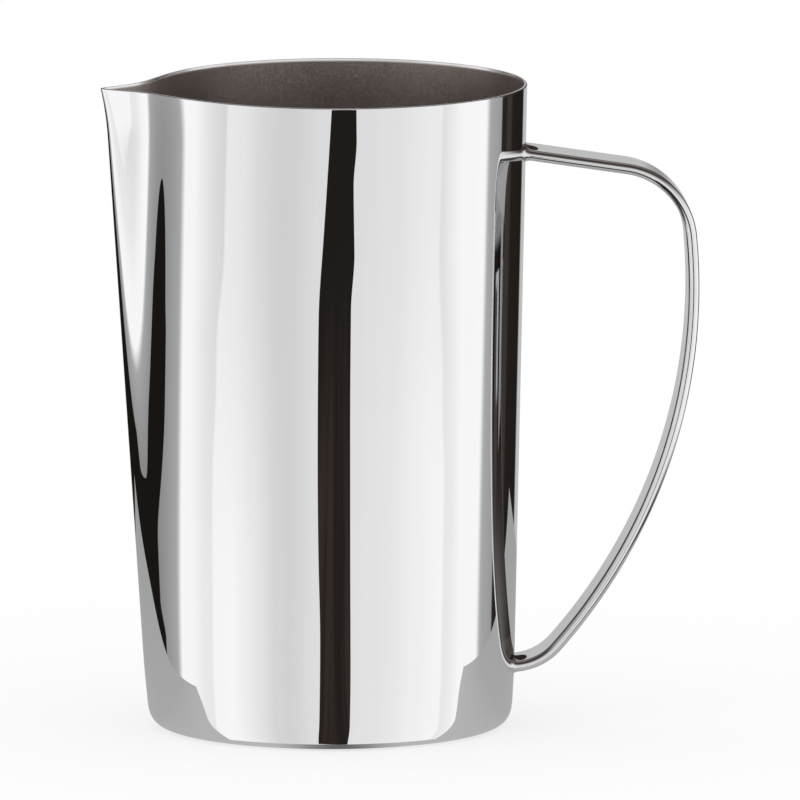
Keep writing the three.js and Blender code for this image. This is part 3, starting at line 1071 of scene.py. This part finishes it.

# %% [markdown]
# A dark gap between two white sheets runs from the foot to the camera. It draws the dark line down the middle
# of the jug. Its sides are straight lines joined by smooth minima and maxima, so that they bend without a
# corner. The right side also has a small step and, far out, a flare. Warm streaks fan out along the gap.

# %% Dark gap towards the camera
# Radius of the painted contact shadow under the foot, where the dark gap starts.
CONTACT_RADIUS = 0.0431
GAP_DARK = (0.0150, 0.0128, 0.0105, 1.0)
GAP_STREAK = (0.046, 0.033, 0.029, 1.0)
GAP_LEFT = ((0.155, -0.0016), (0.2343, -0.0186))
GAP_LEFT_MOST = 0.170
GAP_RIGHT = ((0.1785, -0.0055), (0.1405, 0.0016), (0.104, 0.0165))
GAP_RIGHT_MOST = 0.134
GAP_STEP = 0.0255
GAP_STEP_PLACE = (0.76, 0.88)
GAP_FLARE = 0.040
GAP_FLARE_PLACE = (1.06, 1.19)
GAP_SOFT = 0.005
GAP_SOFTER = 0.02
STREAKS = 14.0
STREAK_DETAIL = 4.0
STREAK_RANGE = (0.30, 0.75)
STREAK_FADE = (0.95, 0.35)


def gap_sides(wires, ahead):
    """How far the gap reaches to the left and to the right at a distance ahead of the axis."""
    near, far = (wires.math("MULTIPLY_ADD", ahead, *line) for line in GAP_LEFT)
    left = wires.math("SMOOTH_MAX", near, far, GAP_SOFT)
    left = wires.math("SMOOTH_MIN", left, GAP_LEFT_MOST, GAP_SOFTER)
    near, middle, far = (wires.math("MULTIPLY_ADD", ahead, *line) for line in GAP_RIGHT)
    right = wires.math("SMOOTH_MIN", wires.math("SMOOTH_MIN", near, middle, GAP_SOFT), far, GAP_SOFT)
    step = wires.math("MULTIPLY", wires.fade(ahead, *GAP_STEP_PLACE), GAP_STEP)
    right = wires.math("SMOOTH_MIN", wires.math("ADD", right, step), GAP_RIGHT_MOST, GAP_SOFT)
    flare = wires.math("MULTIPLY", wires.fade(ahead, *GAP_FLARE_PLACE), GAP_FLARE)
    return left, wires.math("ADD", right, flare)


def dark_gap(wires, x, ahead):
    """1 inside the gap, and the gap's colour. The streaks are noise over the slope x / ahead."""
    left, right = gap_sides(wires, ahead)
    past_left = wires.math("GREATER_THAN", x, wires.math("MULTIPLY", left, -1.0))
    between = wires.math("MULTIPLY", past_left, wires.math("LESS_THAN", x, right))
    gap = wires.math("MULTIPLY", between, wires.math("GREATER_THAN", ahead, CONTACT_RADIUS))
    fan = wires.nodes.new("ShaderNodeCombineXYZ")
    wires.put(fan.inputs["X"], wires.math("MULTIPLY", wires.math("DIVIDE", x, ahead), STREAKS))
    wires.put(fan.inputs["Y"], ahead)
    streak = wires.fade(wires.noise(fan.outputs[0], 1.0, STREAK_DETAIL), *STREAK_RANGE)
    shown = wires.math("MULTIPLY", streak, wires.fade(ahead, *STREAK_FADE))
    return gap, wires.colour(shown, GAP_DARK, GAP_STREAK)


print("dark gap of", len(GAP_LEFT), "left and", len(GAP_RIGHT), "right lines")

# %% [markdown]
# The floor puts these together. Where nothing is drawn, it is open to mirrors and the tent shows through.
# Most of what the camera sees of it is plain white, and a small share is lit, so that the shadow stays
# faint.

# %% Floor
FLOOR_SIZE = 8.0
FLOOR_DROP = 0.05 * MM
SHADOW_SHARE = 0.30


def mirrored_floor(wires):
    """Colour that mirrors see on the floor, and where the floor is closed to them."""
    x, y, _ = wires.place("Object")
    squares = [wires.math("POWER", value, 2.0) for value in (x, y)]
    radius = wires.math("SQRT", wires.math("ADD", *squares))
    # The disc under the foot is painted contact shadow, which takes the table's grey.
    contact_shadow = wires.math("LESS_THAN", radius, CONTACT_RADIUS)
    table = wires.math("MAXIMUM", table_top(wires, x, y), contact_shadow)
    gap, gap_colour = dark_gap(wires, x, wires.math("MULTIPLY", y, -1.0))
    front = wires.colour(gap, sheet_colour(wires, x, y, radius), gap_colour)
    drawn = wires.math("MAXIMUM", wires.math("LESS_THAN", radius, SHEET_RADIUS), gap)
    colour = wires.colour(table, front, table_grey(wires, x, y, contact_shadow))
    return colour, wires.math("MAXIMUM", table, drawn)


def pale_table():
    """Floor material: the drawn floor or an open one for glossy rays, pale with a shadow for all others."""
    material = bpy.data.materials.new("pale_table")
    material.use_nodes = True
    wires = Wires(material.node_tree)
    colour, closed = mirrored_floor(wires)
    open_floor = wires.nodes.new("ShaderNodeBsdfTransparent")
    drawn = wires.nodes.new("ShaderNodeEmission")
    wires.put(drawn.inputs["Color"], colour)
    mirrored = wires.shaders(closed, open_floor.outputs[0], drawn.outputs[0])
    lit = wires.nodes.new("ShaderNodeBsdfDiffuse")
    lit.inputs["Color"].default_value = WHITE
    white = wires.nodes.new("ShaderNodeEmission")
    seen = wires.shaders(SHADOW_SHARE, white.outputs[0], lit.outputs[0])
    path = wires.nodes.new("ShaderNodeLightPath")
    output = wires.nodes.new("ShaderNodeOutputMaterial")
    wires.put(output.inputs["Surface"], wires.shaders(path.outputs["Is Glossy Ray"], seen, mirrored))
    return material


def make_floor():
    """One large square just under the jug."""
    half = FLOOR_SIZE / 2
    corners = [(x * half, y * half, -FLOOR_DROP) for x, y in ((-1, -1), (1, -1), (1, 1), (-1, 1))]
    mesh = bpy.data.meshes.new("floor")
    mesh.from_pydata(corners, [], [(0, 1, 2, 3)])
    mesh.materials.append(pale_table())
    floor = bpy.data.objects.new("floor", mesh)
    bpy.context.scene.collection.objects.link(floor)
    floor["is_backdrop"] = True
    return floor


print(make_floor().name, FLOOR_SIZE, "m wide")

# %% [markdown]
# ## The pieces on the jug's body
# Each piece rides on the jug's one body and stands for its solid.

# %% Pieces and bodies
for piece, node, slot in (
    (shell, "body_shell", "polished_steel"),
    (strap, "handle_strap", "polished_strap"),
    (upper_weld, "upper_weld", "weld_steel"),
    (lower_weld, "lower_weld", "weld_steel"),
):
    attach(piece, "root")
    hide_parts(node)

print("visual model box", box_as_lists())
